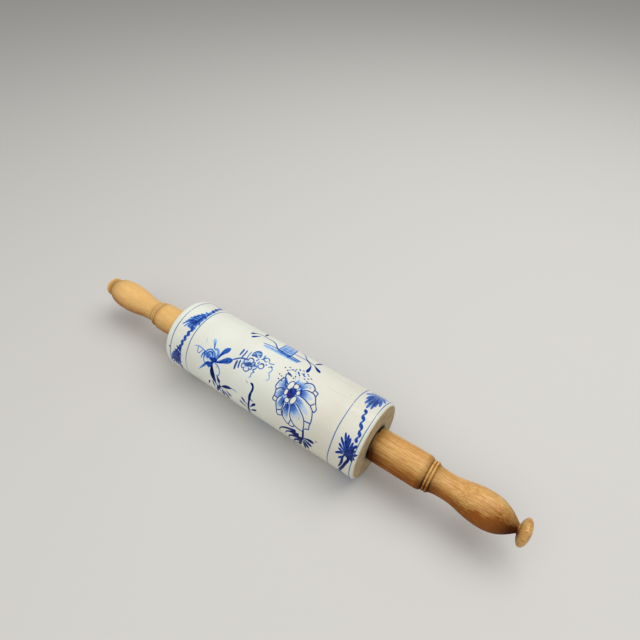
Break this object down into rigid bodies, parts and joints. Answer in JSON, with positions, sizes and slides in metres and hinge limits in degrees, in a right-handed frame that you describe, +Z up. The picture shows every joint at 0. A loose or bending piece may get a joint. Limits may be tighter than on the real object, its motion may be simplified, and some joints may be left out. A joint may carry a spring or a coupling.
{
  "type": "rolling pin",
  "caption": "Glazed porcelain rolling pin: a hollow barrel with painted end bands turns on a wooden axle between turned wooden handles with end buttons.",
  "frame": {"origin": "on the surface the pin lies on, under the middle of the barrel", "axes": "+X along the pin towards the right handle, +Z up"},
  "size_m": [0.4176, 0.062, 0.062],
  "materials": {
    "porcelain": "gloss",
    "handle_wood": "satin",
    "axle_wood": "matte",
    "peg_wood": "matte"
  },
  "bodies": {
    "spindle": {"axle_rod": "axle_wood", "left_handle": "handle_wood", "right_handle": "handle_wood", "left_peg": "peg_wood", "right_peg": "peg_wood"},
    "barrel": {"porcelain_barrel": "porcelain"}
  },
  "joints": [
    {"name": "barrel_spin", "type": "hinge", "parent": "spindle", "child": "barrel", "pos_m": [0, 0, 0.031], "axis": [1, 0, 0], "continuous": true}
  ]
}
